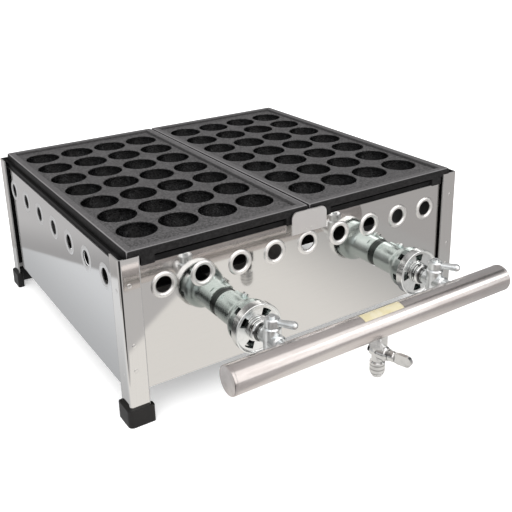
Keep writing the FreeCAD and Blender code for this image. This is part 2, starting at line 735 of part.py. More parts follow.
def pipe_cap(sign):
    inner = V(pipe_shift + sign * (pipe_len / 2 - cap_t), pipe_y, burner_z)
    axis = V(sign, 0, 0)
    outline = [(-3, 0), (-3, pipe_r - pipe_wall), (0, pipe_r - pipe_wall), (0, pipe_r), (cap_t - 1.0, pipe_r),
               (cap_t - 0.3, pipe_r - 0.3), (cap_t, pipe_r - 1.0), (cap_t, 0)]
    return spun(outline, inner, axis, V(0, 0, 1))


def hexagon(x, y, af, z0, z1):
    r = af / math.sqrt(3)
    pts = [V(x + r * math.cos(math.radians(60 * k)), y + r * math.sin(math.radians(60 * k)), z0) for k in range(6)]
    return flat_sheet(pts, V(0, 0, z1 - z0))


def inlet_nut():
    shape = hexagon(inlet_x, pipe_y, inlet_nut_af, inlet_nut_bottom, burner_z - pipe_r / 2)
    shape = shape.cut(rod(V(inlet_x - inlet_nut_af, pipe_y, burner_z), V(1, 0, 0), 2 * inlet_nut_af, pipe_r + 0.02))
    return shape.cut(rod(V(inlet_x, pipe_y, inlet_nut_bottom - 1), V(0, 0, 1), 2 * inlet_nut_below, 4.0))


def inlet_direction():
    return V(math.cos(inlet_rad), math.sin(inlet_rad), 0)


def inlet_cock():
    d = inlet_direction()
    centre = V(inlet_x, pipe_y, inlet_axis_z)
    body = rod(V(inlet_x, pipe_y, coupler_top), V(0, 0, 1), inlet_nut_bottom - coupler_top, inlet_body_r)
    barrel = spun([(-key_tail, 0), (-key_tail, 5.0), (0, 6.0), (2, barrel_r), (barrel_len - 3, barrel_r),
                   (barrel_len - 2, barrel_r - 1.2), (barrel_len, barrel_r - 1.2), (barrel_len, 0)],
                  centre, d, V(0, 0, 1))
    room = hexagon(inlet_x, pipe_y, inlet_nut_af + 2 * nut_gap, inlet_nut_bottom, burner_z)
    shape = body.fuse(barrel.cut(room))
    return shape.cut(rod(centre - d * (key_tail + 1), d, key_tail + barrel_len + 2, key_shaft_r + plug_gap))


def inlet_key():
    # flat key on the inlet plug; it lies along the flow when the gas is on
    d = inlet_direction()
    centre = V(inlet_x, pipe_y, inlet_axis_z)
    out = key_out
    r = key_shaft_r
    outline = [(-key_tail - damper_gap, 0), (-key_tail - damper_gap, r), (out, r), (out, key_hub_r),
               (out + key_hub_len - 1, key_hub_r), (out + key_hub_len, key_hub_r - 1), (out + key_hub_len, 0)]
    hub = spun(outline, centre, d, V(0, 0, 1))
    side = V(-d.y, d.x, 0)
    sunk = 2.0
    start = centre + d * (out + key_hub_len - sunk) - side * (key_t / 2)
    r2 = key_w / 2
    run = key_len + sunk - r2
    up = V(0, 0, 1)
    neck = key_hub_r - 1
    p = [start - up * neck, start + d * 6 - up * r2, start + d * run - up * r2, start + d * run + up * r2,
         start + d * 6 + up * r2, start + up * neck]
    arc = Part.Arc(p[2], start + d * (run + r2), p[3]).toShape()
    lines = [Part.LineSegment(p[a], p[b]).toShape() for a, b in ((0, 1), (1, 2), (3, 4), (4, 5), (5, 0))]
    wire = Part.Wire([lines[0], lines[1], arc, lines[2], lines[3], lines[4]])
    blade = Part.Face(wire).extrude(side * key_t)
    return hub.fuse(blade)


def inlet_tail():
    # dark nut that holds the inlet plug from behind
    d = inlet_direction()
    back = V(inlet_x, pipe_y, inlet_axis_z) - d * (key_tail + damper_gap)
    return rod(back, d * -1, 2.8, 3.2 - nut_gap)


def coupler():
    r = coupler_r
    low = coupler_bottom
    high = coupler_top
    outline = [(low, 3.2), (low, r - 2.4), (low + 3.0, r - 0.9), (low + 3.0, r - 1.4), (low + 4.0, r - 1.4),
               (low + 4.8, r), (high - 1.0, r), (high, r - 1.0), (high, 0), (high - 3, 0), (high - 3, 3.2)]
    return spun(outline, V(inlet_x, pipe_y, 0), V(0, 0, 1), V(1, 0, 0))


# ---------------------------------------------------------------- build
def build():
    os.makedirs("parts", exist_ok=True)
    for name, sign in (("left", -1), ("right", 1)):
        save("plate_" + name, plate(sign * plate_mid_x))
    save("centre_bar", centre_bar())
    save("centre_tab", centre_tab())
    base_leg = leg()
    base_boot = boot(base_leg)
    base_post = post()
    for name, fx, fy in (("fl", 0, 0), ("fr", 1, 0), ("bl", 0, 1), ("br", 1, 1)):
        save("leg_" + name, mirrored(base_leg, fx, fy))
        save("boot_" + name, mirrored(base_boot, fx, fy))
        save("post_" + name, mirrored(base_post, fx, fy))
    save("panel_front", end_panel(True))
    save("panel_back", mirrored(end_panel(False), 0, 1))
    save("panel_left", side_panel())
    save("panel_right", mirrored(side_panel(), 1, 0))
    save("rail_left", side_rail())
    save("rail_right", mirrored(side_rail(), 1, 0))
    save("rail_front", end_rail())
    save("rail_back", mirrored(end_rail(), 0, 1))
    save("support_front", support_bar(-support_y))
    save("support_back", support_bar(support_y))
    for name, x in burner_xs.items():
        deg = window_degs[name]
        save("burner_" + name, burner(x))
        save("mixer_" + name, mixer(x, deg))
        save("screw_" + name, set_screw(x))
        save("damper_" + name, damper(x, deg))
        save("nozzle_" + name, nozzle(x))
        save("cock_" + name, cock(x))
        save("lever_" + name, cock_lever(x))
    save("manifold_pipe", manifold())
    save("pipe_cap_left", pipe_cap(-1))
    save("pipe_cap_right", pipe_cap(1))
    save("inlet_nut", inlet_nut())
    save("inlet_cock", inlet_cock())
    save("inlet_key", inlet_key())
    save("inlet_tail", inlet_tail())
    save("hose_coupler", coupler())


build()
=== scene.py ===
"""Gas takoyaki cooker: finishes, small parts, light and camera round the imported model.

Lengths are metres in the row frame: +X runs along the front, +Y from the gas pipe to the
back, +Z up, with the origin on the counter under the middle of the whole cooker. A Span,
an Outline and every size that says so are in millimetres.
"""

import logging
import math
from dataclasses import dataclass, field
from enum import Enum
from typing import Any

import bmesh
import bpy
from mathutils import Euler, Matrix, Vector


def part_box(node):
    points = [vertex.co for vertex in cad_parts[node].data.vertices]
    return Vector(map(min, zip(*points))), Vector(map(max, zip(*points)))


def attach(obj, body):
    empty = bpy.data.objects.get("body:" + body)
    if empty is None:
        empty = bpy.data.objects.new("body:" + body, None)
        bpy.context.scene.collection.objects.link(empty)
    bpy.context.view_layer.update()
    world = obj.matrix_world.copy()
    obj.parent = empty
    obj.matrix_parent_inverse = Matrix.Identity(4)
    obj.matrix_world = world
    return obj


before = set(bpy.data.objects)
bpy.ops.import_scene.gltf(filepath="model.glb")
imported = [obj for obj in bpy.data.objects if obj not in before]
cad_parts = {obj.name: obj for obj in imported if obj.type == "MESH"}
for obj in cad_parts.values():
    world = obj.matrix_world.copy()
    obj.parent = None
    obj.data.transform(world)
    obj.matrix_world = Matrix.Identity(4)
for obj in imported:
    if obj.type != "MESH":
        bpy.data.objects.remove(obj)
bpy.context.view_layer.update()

LOG = logging.getLogger("takoyaki_cooker")
MM = 0.001
MERGE = 1e-6
FINE_MERGE = 1e-7

Colour = tuple[float, float, float]
Point = tuple[float, float, float]
Span = tuple[float, float]
Outline = tuple[tuple[float, float], ...]

BLACK: Colour = (0.0, 0.0, 0.0)
WHITE: Colour = (1.0, 1.0, 1.0)


class Side(Enum):
    """The two halves of the cooker, seen from the gas pipe."""

    LEFT = "left"
    RIGHT = "right"

    @property
    def sign(self) -> int:
        """Which way the half lies from the middle, along X."""
        return -1 if self is Side.LEFT else 1


class Corner(Enum):
    """The four legs: front or back, left or right."""

    FRONT_LEFT = "fl"
    FRONT_RIGHT = "fr"
    BACK_LEFT = "bl"
    BACK_RIGHT = "br"

    @property
    def signs(self) -> tuple[int, int]:
        """Which way the corner lies from the middle, along X and along Y."""
        return (-1 if self.value[1] == "l" else 1, -1 if self.value[0] == "f" else 1)


def times(triple: Colour, factor: float) -> Colour:
    """Each of three numbers times a factor."""
    return tuple(part * factor for part in triple)


# ------------------------------------------------------------------ shader arithmetic
class Wire:
    """A shader socket that takes part in plain arithmetic."""

    def __init__(self, graph: "Graph", socket: bpy.types.NodeSocket) -> None:
        """Keeps an output socket and the graph that it belongs to."""
        self.graph = graph
        self.socket = socket

    def _math(self, kind: str, first: Any, second: Any = 0.0) -> "Wire":
        """Adds one Math node."""
        made = self.graph.node("Math", {"operation": kind}, {0: first, 1: second})
        return Wire(self.graph, made.outputs[0])

    def __add__(self, other: Any) -> "Wire":
        """This plus other."""
        return self._math("ADD", self, other)

    __radd__ = __add__

    def __sub__(self, other: Any) -> "Wire":
        """This minus other."""
        return self._math("SUBTRACT", self, other)

    def __rsub__(self, other: Any) -> "Wire":
        """Other minus this."""
        return self._math("SUBTRACT", other, self)

    def __mul__(self, other: Any) -> "Wire":
        """This times other."""
        return self._math("MULTIPLY", self, other)

    __rmul__ = __mul__

    def size(self) -> "Wire":
        """The value without its sign."""
        return self._math("ABSOLUTE", self)

    def most(self, other: Any) -> "Wire":
        """The larger of this and other."""
        return self._math("MAXIMUM", self, other)

    def sine(self) -> "Wire":
        """The sine of the value."""
        return self._math("SINE", self)

    def reach(self, other: "Wire") -> "Wire":
        """The length of the flat vector that this and other make."""
        return self._math("SQRT", self * self + other * other)

    def fold(self, half: float) -> "Wire":
        """The distance to the nearest whole multiple of twice half."""
        return self._math("PINGPONG", self, half)

    def ramp(self, low: float, high: float) -> "Wire":
        """A smooth step from 0 at low to 1 at high; low may lie above high.

        Args:
            low: The value that gives 0.
            high: The value that gives 1.

        Returns:
            The step.
        """
        made = self.graph.node("MapRange", {"interpolation_type": "SMOOTHSTEP"},
                               {"Value": self, "From Min": low, "From Max": high})
        return Wire(self.graph, made.outputs[0])

    def step(self, span: Span, past: float = 0.0) -> "Wire":
        """A ramp over a span in millimetres, which lies past a place in metres."""
        return self.ramp(past + span[0] * MM, past + span[1] * MM)


class Graph:
    """The node graph of one material, with a Principled shader at its end.

    Its place is the socket of the Object coordinates, which are the row frame in metres.
    """

    def __init__(self, name: str) -> None:
        """Makes the material.

        Args:
            name: The material's name.
        """
        self.material = bpy.data.materials.new(name)
        self.material.use_nodes = True
        self.tree = self.material.node_tree
        self.shader = self.tree.nodes["Principled BSDF"]
        self.place = self.node("TexCoord", {}, {}).outputs["Object"]

    def feed(self, socket: bpy.types.NodeSocket, value: Any) -> None:
        """Gives a socket a value or a link.

        Args:
            socket: The input.
            value: A number, a colour, a vector, a Wire or a socket.
        """
        if isinstance(value, Wire):
            self.tree.links.new(value.socket, socket)
        elif isinstance(value, bpy.types.NodeSocket):
            self.tree.links.new(value, socket)
        elif socket.type == "RGBA":
            socket.default_value = (*value, 1.0)
        else:
            socket.default_value = value

    def node(self, kind: str, settings: dict[str, Any], sockets: dict[int | str, Any]) -> bpy.types.Node:
        """Adds one node.

        Args:
            kind: The node's type, without the word ShaderNode.
            settings: Its own properties, such as a Math node's operation, which are set first.
            sockets: Values or links for its inputs, by name or number.

        Returns:
            The node.
        """
        made = self.tree.nodes.new("ShaderNode" + kind)
        for name, value in settings.items():
            setattr(made, name, value)
        for key, value in sockets.items():
            self.feed(made.inputs[key], value)
        return made

    def axes(self) -> tuple[Wire, ...]:
        """The X, Y and Z of the Object coordinates."""
        made = self.node("SeparateXYZ", {}, {0: self.place})
        return tuple(Wire(self, out) for out in made.outputs)

    def stretched(self, scale: Point) -> bpy.types.NodeSocket:
        """Object coordinates scaled along each axis, for a pattern with a direction."""
        return self.node("Mapping", {}, {"Vector": self.place, "Scale": scale}).outputs[0]

    def noise(self, scale: float, detail: float = 3.0, rough: float = 0.55,
              vector: bpy.types.NodeSocket | None = None) -> Wire:
        """Cloudy noise between 0 and 1.

        Args:
            scale: Cells per metre.
            detail: Octaves.
            rough: Share of the fine octaves.
            vector: Where it is read; Object coordinates if left out.

        Returns:
            The value.
        """
        made = self.node("TexNoise", {}, {"Vector": vector or self.place, "Scale": scale,
                                          "Detail": detail, "Roughness": rough})
        return Wire(self, made.outputs[0])

    def cells(self, scale: float) -> Wire:
        """Distance to the middle of the nearest grain, with scale grains per metre."""
        made = self.node("TexVoronoi", {}, {"Vector": self.place, "Scale": scale})
        return Wire(self, made.outputs["Distance"])

    def blend(self, factor: Any, first: Any, second: Any) -> Wire:
        """A colour between two others: the first at 0, the second at 1."""
        made = self.node("Mix", {"data_type": "RGBA"}, {0: factor, 6: first, 7: second})
        return Wire(self, made.outputs[2])

    def relief(self, height: Wire, depth: float,
               under: bpy.types.NodeSocket | None = None) -> bpy.types.NodeSocket:
        """A bumped normal.

        Args:
            height: The height, 0 to 1.
            depth: What a height of 1 stands for, mm.
            under: A normal that this one is laid over.

        Returns:
            The normal.
        """
        sockets: dict[int | str, Any] = {"Height": height, "Distance": depth * MM, "Strength": 1.0}
        if under is not None:
            sockets["Normal"] = under
        return self.node("Bump", {}, sockets).outputs[0]

    def finish(self, **sockets: Any) -> None:
        """Sets or links the shader's sockets, with _ for the space in a name."""
        for name, value in sockets.items():
            self.feed(self.shader.inputs[name.replace("_", " ")], value)


# ------------------------------------------------------------------ finishes
@dataclass(frozen=True)
class Finish:
    """One surface finish, made once as a material."""

    name: str

    def paint(self, g: Graph) -> None:
        """Lays the finish into a graph; each finish has its own."""
        raise NotImplementedError

    def material(self) -> bpy.types.Material:
        """The finish's material.

        Returns:
            The material, made at the first call.
        """
        made = bpy.data.materials.get(self.name)
        if made is None:
            g = Graph(self.name)
            self.paint(g)
            made = g.material
        return made


@dataclass(frozen=True)
class SeasonedIron(Finish):
    """Cast iron: grainy grey face, paler rim, dark sides with painted shade and glossy black cups.

    The spans of the rim, its slopes, the field and the side are measured outwards from
    the plate's edge, and those of the cups and the underside up from its face.
    """

    low: tuple[float, float]
    high: tuple[float, float]
    face_z: float
    rim: Span = (-10.2, -8.4)
    slope_foot: Span = (-10.8, -10.2)
    slope_top: Span = (-8.0, -8.8)
    field_end: Span = (-9.0, -8.0)
    edge_wear_and_highlight: Span = (-2.3, -1.5)
    side: Span = (-0.9, -0.2)
    under: Span = (-4.0, -5.0)
    mouth: Span = (-0.25, -1.1)
    face: Colour = (0.073, 0.0705, 0.0715)
    worn_and_highlit: Colour = (0.115, 0.111, 0.113)
    dark_and_shaded_flank: Colour = (0.011, 0.0105, 0.0107)
    cup: Colour = (0.0007, 0.0007, 0.0009)
    glint: Colour = (0.06, 0.062, 0.064)

    def beyond(self, at: Wire, axis: int) -> Wire:
        """How far a place lies beyond the plate's edge along one axis."""
        low, high = self.low[axis], self.high[axis]
        return (at - (low + high) / 2).size() - (high - low) / 2

    def paint(self, g: Graph) -> None:
        """Face, rim, flanks and cups are told apart by where they lie; shade and highlights are painted.

        Args:
            g: The material's graph.
        """
        x, y, z = g.axes()
        edge = self.beyond(x, 0).most(self.beyond(y, 1))
        rim = edge.step(self.rim)
        slope = edge.step(self.slope_foot) * edge.step(self.slope_top)
        edge_wear_and_highlight = edge.step(self.edge_wear_and_highlight)
        shaded_side = edge.step(self.side).most(z.step(self.under, self.face_z))
        cup = z.step(self.mouth, self.face_z) * (1.0 - edge.step(self.field_end))

        grain = g.noise(430.0, 2.0, 0.6)
        sand = g.noise(1000.0, 2.0, 0.6)
        mottle = g.noise(45.0, 3.0, 0.6)
        speckle = (grain * 0.6 + sand * 0.4).ramp(0.42, 0.60)
        bright = times(self.face, 1.5)
        tone = g.blend(speckle, times(self.face, 0.52), bright)
        tone = g.blend(mottle.ramp(0.45, 0.75) * 0.3, tone, bright)
        tone = g.blend(rim * (0.45 + speckle * 0.3), tone, self.worn_and_highlit)
        # painted shade on the rim's inner slope
        tone = g.blend(slope * 0.65, tone, self.dark_and_shaded_flank)
        # painted highlight, with some wear, along the rim's outside edge
        tone = g.blend(edge_wear_and_highlight * (0.35 + mottle * 0.5), tone, times(self.worn_and_highlit, 2.4))
        # the sides and underside: blackened iron with painted shade over it
        tone = g.blend(shaded_side, tone, g.blend(speckle, times(self.dark_and_shaded_flank, 0.75), times(self.dark_and_shaded_flank, 1.5)))
        # painted glints: pale specks in the black cups
        sparkle = g.cells(820.0).ramp(0.40, 0.20) * g.noise(130.0, 2.0).ramp(0.45, 0.62)
        tone = g.blend(cup, tone, g.blend(sparkle * 0.6, self.cup, self.glint))

        rough = 0.52 - cup * 0.24 + (grain - 0.5) * 0.2
        pits = g.relief(g.cells(560.0).ramp(0.1, 0.6) * cup, 0.30, g.relief(grain, 0.12))
        g.finish(Base_Color=tone, Roughness=rough, Metallic=0.0, Normal=pits, Specular_IOR_Level=0.14)


@dataclass(frozen=True)
class BrightSheet(Finish):
    """Stainless sheet, bright enough to mirror what stands in front of it.

    The grain is the scale of the rolling lines along each axis, and the wave is in mm.
    """

    colour: Colour = (0.73, 0.72, 0.705)
    grain: Point = (27.0, 27.0, 2160.0)
    gloss: float = 0.035
    wave: float = 0.10
    painted_shade_colour: Colour = (0.010, 0.0085, 0.0075)

    def paint(self, g: Graph) -> None:
        """Fine rolled grain and slow waves."""
        self.lay(g)

    def lay(self, g: Graph, satin: Wire | None = None, painted_shade: Wire | None = None) -> None:
        """Lays the sheet, satin where a tool has pressed it and near black where shade is painted.

        Args:
            g: The material's graph.
            satin: 1 where the sheet is satin, or None.
            painted_shade: 1 where shade is painted, or None.
        """
        rolled = g.noise(1.0, 4.0, 0.6, g.stretched(self.grain))
        cloud = g.noise(14.0, 2.0, 0.5)
        base = g.blend(rolled.ramp(0.3, 0.75), times(self.colour, 0.975), self.colour)
        rough = self.gloss + rolled * 0.03 + cloud.ramp(0.45, 0.8) * 0.02
        metal: Wire | float = 1.0
        if satin is not None:
            base = g.blend(satin, base, times(self.colour, 1.16))
            rough = rough + satin * 0.36
        if painted_shade is not None:
            # painted shade: near black, duller and less metallic
            base = g.blend(painted_shade * (0.75 + cloud * 0.25), base, self.painted_shade_colour)
            rough = rough + painted_shade * 0.4
            metal = 1.0 - painted_shade * 0.8
        wave = g.relief(g.noise(9.0, 1.0, 0.4), self.wave)
        g.finish(Base_Color=base, Metallic=metal, Roughness=rough, Normal=g.relief(rolled, 0.001, wave))


@dataclass(frozen=True)
class AngleSteel(BrightSheet):
    """Mirror angle steel, with painted shade along the cut ends of its flanges."""

    end_x: float = 188.0 * MM
    end_y: float = 167.8 * MM
    centre_y: float = 71.3 * MM
    cut: Span = (1.0, 0.5)

    def paint(self, g: Graph) -> None:
        """Every flange ends at one distance from the hearth's middle planes.

        Args:
            g: The material's graph.
        """
        x, y, _ = g.axes()
        cut_x = x.size().step(self.cut, self.end_x)
        cut_y = (y - self.centre_y).size().step(self.cut, self.end_y)
        # painted shade along the flanges' cut ends
        self.lay(g, painted_shade=cut_x.most(cut_y) * 0.7)


@dataclass(frozen=True)
class VentedSheet(BrightSheet):
    """Mirror sheet with a row of vents, whose pressed collars are satin, and painted shade within."""

    level: float = 135.0 * MM
    start: float = 0.0
    pitch: float = 41.0 * MM
    along_y: bool = False
    collar_r: float = 13.4 * MM
    collar: Span = (0.2, -0.3)
    inner: tuple[float, float] = (0.2, 0.18)
    inner_face: Span = (0.8, 0.5)
    centre_y: float = 71.0 * MM

    def paint(self, g: Graph) -> None:
        """The collars lie at every pitch along the row, and the painted shade within the sheets.

        Args:
            g: The material's graph.
        """
        x, y, z = g.axes()
        run = ((y if self.along_y else x) - self.start).fold(self.pitch / 2)
        collar = run.reach(z - self.level).step(self.collar, self.collar_r)
        inside_x = x.size().step(self.inner_face, self.inner[0])
        inside_y = (y - self.centre_y).size().step(self.inner_face, self.inner[1])
        # painted shade on the sheets' inner faces
        self.lay(g, collar, inside_x * inside_y)


@dataclass(frozen=True)
class SatinBlack(Finish):
    """Heat-proof black on the angle rails, posts and supports."""

    colour: Colour = (0.0065, 0.0062, 0.0064)
    gloss: float = 0.42

    def paint(self, g: Graph) -> None:
        """Slight orange peel and dull patches.

        Args:
            g: The material's graph.
        """
        patch = g.noise(45.0, 3.0, 0.6)
        peel = g.noise(900.0, 2.0, 0.5)
        base = g.blend(patch.ramp(0.45, 0.8), self.colour, times(self.colour, 2.2))
        g.finish(Base_Color=base, Roughness=self.gloss + patch * 0.18, Normal=g.relief(peel, 0.03),
                 Specular_IOR_Level=0.10)


@dataclass(frozen=True)
class Rubber(Finish):
    """Black rubber of the boots."""

    colour: Colour = (0.0075, 0.0068, 0.0066)
    dust: Colour = (0.04, 0.038, 0.036)
    dust_rise: Span = (12.0, 0.0)

    def paint(self, g: Graph) -> None:
        """Fine moulded grain with a faint bloom of dust towards the ground.

        Args:
            g: The material's graph.
        """
        _, _, z = g.axes()
        fine = g.noise(2200.0, 2.0, 0.5)
        dust = g.noise(90.0, 3.0, 0.6).ramp(0.45, 0.8) * z.step(self.dust_rise)
        base = g.blend(dust * 0.3, self.colour, self.dust)
        g.finish(Base_Color=base, Roughness=0.34 + fine * 0.12, Normal=g.relief(fine, 0.03),
                 Specular_IOR_Level=0.30)


@dataclass(frozen=True)
class RawIron(Finish):
    """Sand-cast burner iron, darkened by heat, with a machined neck outside the sheet, tinted green-grey
    as a painted reflection.
    """

    colour: Colour = (0.030, 0.028, 0.027)
    neck: Colour = (0.055, 0.066, 0.062)
    rust: Colour = (0.060, 0.040, 0.030)
    front_y: float = -113.4 * MM
    neck_start: Span = (0.5, 0.0)

    def paint(self, g: Graph) -> None:
        """Coarse sand grain with brown patches of scale.

        Args:
            g: The material's graph.
        """
        _, y, _ = g.axes()
        neck = y.step(self.neck_start, self.front_y)
        sand = g.noise(700.0, 4.0, 0.65)
        scale = g.noise(55.0, 3.0, 0.6).ramp(0.5, 0.75)
        # the neck is machined metal; its green-grey tint is a painted reflection
        base = g.blend(neck, g.blend(scale * 0.6, self.colour, self.rust), self.neck)
        g.finish(Base_Color=base, Roughness=0.62 + sand * 0.2 - neck * 0.38, Metallic=0.2 + neck * 0.8,
                 Normal=g.relief(sand * (1.0 - neck), 0.25))


@dataclass(frozen=True)
class ZincCasting(Finish):
    """Zinc-plated casting of a mixing tube: pale, a little green, softly bright, with painted shade
    within it and on its lower left.

    The bell's spans are measured inwards from its mouth.
    """

    axis_x: float
    axis_z: float
    mouth_y: float
    tube_in: float = 13.9 * MM
    bell_in: float = 19.7 * MM
    bore: Span = (0.2, -0.2)
    bell_start: Span = (1.5, 2.1)
    bell_end: Span = (14.0, 13.0)
    underside: Span = (8.0, -24.0)
    colour: Colour = (0.68, 0.755, 0.735)
    shade: Colour = (0.51, 0.58, 0.56)
    painted_shade_colour: Colour = (0.012, 0.016, 0.015)

    def paint(self, g: Graph) -> None:
        """Cast ripples under bright plating with duller patches; shade is painted in the bore and the
        bell and on the lower left.

        Args:
            g: The material's graph.
        """
        x, y, z = g.axes()
        dx, dz = x - self.axis_x, z - self.axis_z
        far = dx.reach(dz)
        bell = y.step(self.bell_start, self.mouth_y) * y.step(self.bell_end, self.mouth_y)
        shaded_inside = far.step(self.bore, self.tube_in).most(far.step(self.bore, self.bell_in) * bell)
        shaded_below = (dx + dz).step(self.underside)

        ripple = g.noise(110.0, 2.0, 0.5)
        grain = g.noise(1100.0, 3.0, 0.6)
        patch = g.noise(30.0, 4.0, 0.5)
        base = g.blend(patch.ramp(0.35, 0.68), self.shade, self.colour)
        # painted shade on the tube's lower left side
        base = g.blend(shaded_below * 0.62, base, times(self.shade, 0.45))
        # painted shade in the bore and the bell
        base = g.blend(shaded_inside, base, self.painted_shade_colour)
        rough = 0.20 + patch * 0.12 + grain * 0.05 + shaded_inside * 0.4
        g.finish(Base_Color=base, Metallic=1.0 - shaded_inside * 0.8, Roughness=rough,
                 Normal=g.relief(grain, 0.020, g.relief(ripple, 0.07)))


@dataclass(frozen=True)
class TurnedDisc(Finish):
    """Bright plated disc with the rings that its lathe left, round an axis along Y."""

    axis_x: float
    axis_z: float
    colour: Colour = (0.88, 0.895, 0.89)
    pitch: float = 0.55 * MM

    def paint(self, g: Graph) -> None:
        """Rings by distance from the axis.

        Args:
            g: The material's graph.
        """
        x, _, z = g.axes()
        far = (x - self.axis_x).reach(z - self.axis_z)
        ring = (far * (2 * math.pi / self.pitch)).sine() * 0.5 + 0.5
        cloud = g.noise(120.0, 3.0, 0.6)
        base = g.blend(cloud.ramp(0.4, 0.75), self.colour, times(self.colour, 0.9))
        g.finish(Base_Color=base, Metallic=1.0, Roughness=0.16 + cloud * 0.06 + ring * 0.04,
                 Normal=g.relief(ring, 0.006))


@dataclass(frozen=True)
class Plated(Finish):
    """Bright nickel or chrome over cast or turned brass, with ripples in mm."""

    colour: Colour = (0.86, 0.885, 0.89)
    gloss: float = 0.24
    ripple: float = 0.10

    def paint(self, g: Graph) -> None:
        """Polished casting: soft ripples, faint haze."""
        self.lay(g)

    def lay(self, g: Graph, groove: Wire | None = None) -> None:
        """Lays the plating.

        Args:
            g: The material's graph.
            groove: 1 in the bottom of a groove, or None.
        """
        soft = g.noise(210.0, 2.0, 0.5)
        haze = g.noise(75.0, 3.0, 0.6)
        base = g.blend(haze.ramp(0.4, 0.8), self.colour, times(self.colour, 0.72))
        if groove is not None:
            # painted shade in the grooves
            base = g.blend(groove, base, times(self.colour, 0.16))
        g.finish(Base_Color=base, Metallic=1.0, Roughness=self.gloss + haze * 0.12,
                 Normal=g.relief(soft, self.ripple))


@dataclass(frozen=True)
class RidgedPlating(Plated):
    """Plating over ridges that were turned along Y or Z, with painted shade in their grooves."""

    start: float = 0.0
    pitch: float = 3.1 * MM
    along_z: bool = False
    dark: float = 1.0
    groove_out: float = 0.24
    groove_in: float = 0.06

    def paint(self, g: Graph) -> None:
        """A groove lies at every pitch from the start, its edges at shares of the pitch.

        Args:
            g: The material's graph.
        """
        _, y, z = g.axes()
        run = ((z if self.along_z else y) - self.start).fold(self.pitch / 2)
        self.lay(g, run.ramp(self.pitch * self.groove_out, self.pitch * self.groove_in) * self.dark)


@dataclass(frozen=True)
class PolishedPipe(Finish):
    """Stainless pipe, belt-polished along its length; both scales are for each axis."""

    colour: Colour = (0.66, 0.625, 0.61)
    warm: Colour = (0.56, 0.515, 0.50)
    line_scale: Point = (10.0, 900.0, 900.0)
    patch_scale: Point = (18.0, 90.0, 90.0)

    def paint(self, g: Graph) -> None:
        """Long polishing lines and a light warm cast in patches.

        Args:
            g: The material's graph.
        """
        lines = g.noise(1.0, 4.0, 0.6, g.stretched(self.line_scale))
        patch = g.noise(1.0, 3.0, 0.55, g.stretched(self.patch_scale))
        base = g.blend(patch.ramp(0.4, 0.8), self.colour, self.warm)
        g.finish(Base_Color=base, Metallic=1.0, Roughness=0.19 + lines * 0.10,
                 Normal=g.relief(lines, 0.008))


@dataclass(frozen=True)
class LabelFilm(Finish):
    """Blank printed film, pale cream with a yellow lean."""

    colour: Colour = (0.56, 0.49, 0.29)
    pale: Colour = (0.60, 0.55, 0.40)

    def paint(self, g: Graph) -> None:
        """Uneven print under a thin gloss.

        Args:
            g: The material's graph.
        """
        cloud = g.noise(110.0, 3.0, 0.6)
        fine = g.noise(3500.0, 1.0, 0.5)
        g.finish(Base_Color=g.blend(cloud.ramp(0.3, 0.7), self.colour, self.pale),
                 Roughness=0.32 + cloud * 0.12, Normal=g.relief(fine, 0.006))


@dataclass(frozen=True)
class PaleFloor(Finish):
    """Pale matt counter that glows softly, with a painted shadow under the cooker where it does not
    glow.
    """

    colour: Colour = (0.93, 0.93, 0.93)
    painted_shade_colour: Colour = (0.30, 0.275, 0.26)
    glow: float = 0.36
    shadow_x: Span = (172.0, 142.0)
    shadow_y: Span = (138.0, 100.0)
    shadow_centre_y: float = 100.0 * MM

    def paint(self, g: Graph) -> None:
        """A trace of unevenness; the painted shadow lies within the legs.

        Args:
            g: The material's graph.
        """
        x, y, _ = g.axes()
        # painted shadow under the cooker: darker, and without the glow
        painted_shadow = x.size().step(self.shadow_x) * (y - self.shadow_centre_y).size().step(self.shadow_y)
        base = g.blend(g.noise(3.0, 2.0, 0.5), self.colour, times(self.colour, 1.01))
        g.finish(Base_Color=g.blend(painted_shadow, base, self.painted_shade_colour), Roughness=0.9, Specular_IOR_Level=0.1,
                 Emission_Color=g.blend(painted_shadow, WHITE, BLACK), Emission_Strength=self.glow)


@dataclass(frozen=True)
class CardGlow(Finish):
    """A studio card that bright surfaces mirror; it shows nowhere else."""

    colour: Colour = (0.5, 0.5, 0.5)

    def paint(self, g: Graph) -> None:
        """A slightly uneven glow."""
        cloud = g.noise(0.8, 2.0, 0.5)
        self.shine(g, g.blend(cloud.ramp(0.3, 0.7), times(self.colour, 0.92), times(self.colour, 1.08)))

    def shine(self, g: Graph, colour: Wire) -> None:
        """Lays a colour as light alone."""
        g.finish(Base_Color=BLACK, Emission_Color=colour, Roughness=1.0,
                 Emission_Strength=1.0, Specular_IOR_Level=0.0)


